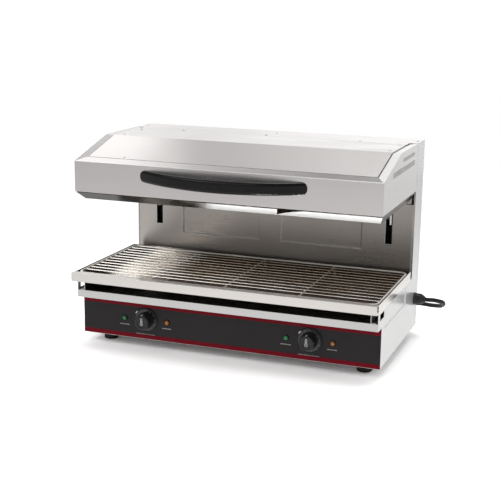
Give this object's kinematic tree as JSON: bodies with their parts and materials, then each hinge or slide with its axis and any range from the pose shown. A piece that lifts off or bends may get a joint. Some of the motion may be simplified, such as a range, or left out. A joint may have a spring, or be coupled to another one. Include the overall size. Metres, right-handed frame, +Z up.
{
  "type": "cheese melter",
  "caption": "Stainless lift salamander grill: a heated head with bow handle rides on a rear column over a pull-out pan with a wire rack; black control panel with knobs and lamps.",
  "frame": {"origin": "middle of the footprint, on the surface that the feet stand on", "axes": "+X to the right as seen from the front, +Y towards the back column, +Z up"},
  "size_m": [0.8818, 0.6537, 0.533],
  "materials": {
    "stainless": "fine straight brushing",
    "polished_steel": "bright, nearly mirror polished",
    "inner_steel": "dull mill finish",
    "bright_steel": "ground",
    "chrome_wire": "bright plated",
    "black_enamel": "semi-gloss black",
    "red_stripe": "semi-gloss dark red",
    "strut_paint": "semi-gloss black",
    "black_plastic": "fine matt black",
    "gland_plastic": "matt black",
    "green_lens": "clear tinted, domed",
    "amber_lens": "clear tinted, domed",
    "terminal_plastic": "cream",
    "foot_rubber": "matt",
    "cord_rubber": "satin jacket",
    "pin_brass": "bare",
    "mineral_wool": "loose fibre blanket",
    "element_tube": "heat-darkened"
  },
  "bodies": {
    "base": {"side_panel_left": "stainless", "side_panel_right": "stainless", "base_plate": "stainless", "control_panel": "black_enamel", "panel_stripes": "red_stripe", "deck": "stainless", "tray_guides": "inner_steel", "feet": "foot_rubber", "back_panel": "inner_steel", "upper_panel": "inner_steel", "rear_cover": "stainless", "column_top": "stainless", "column_brace": "inner_steel", "guide_rods": "bright_steel", "strut_cylinders": "strut_paint", "thermostats": "bright_steel", "knob_bezels": "black_plastic", "lamp_housings": "black_plastic", "lamp_lenses_green": "green_lens", "lamp_lenses_amber": "amber_lens", "terminal_block": "terminal_plastic", "cable_gland": "gland_plastic", "power_cord": "cord_rubber", "cord_coil": "cord_rubber", "plug_body": "cord_rubber", "plug_pins": "pin_brass"},
    "left_control": {"knob_left": "black_plastic", "spindle_left": "bright_steel"},
    "right_control": {"knob_right": "black_plastic", "spindle_right": "bright_steel"},
    "tray": {"pan": "polished_steel"},
    "grid": {"rack_frame": "chrome_wire", "rack_wires": "chrome_wire", "rack_rods": "chrome_wire"},
    "lift_head": {"head_side_left": "stainless", "head_side_right": "stainless", "head_front": "stainless", "head_cover": "stainless", "head_rear": "stainless", "skirt": "polished_steel", "reflector": "polished_steel", "insulation": "mineral_wool", "element_left": "element_tube", "element_right": "element_tube", "element_hangers": "inner_steel", "handle": "black_plastic", "carriages": "bright_steel", "strut_rods": "chrome_wire"}
  },
  "joints": [
    {"name": "head_lift", "type": "slide", "parent": "base", "child": "lift_head", "axis": [0, 0, 1], "range_m": [-0.12, 0]},
    {"name": "pan_slide", "type": "slide", "parent": "base", "child": "tray", "axis": [0, -1, 0], "range_m": [0, 0.26]},
    {"name": "rack_lift", "type": "slide", "parent": "tray", "child": "grid", "axis": [0, 0, 1], "range_m": [0, 0.05]},
    {"name": "left_knob_turn", "type": "hinge", "parent": "base", "child": "left_control", "pos_m": [-0.221, -0.164, 0.0775], "axis": [0, 1, 0], "range_deg": [0, 270]},
    {"name": "right_knob_turn", "type": "hinge", "parent": "base", "child": "right_control", "pos_m": [0.221, -0.164, 0.0775], "axis": [0, 1, 0], "range_deg": [0, 270]}
  ]
}
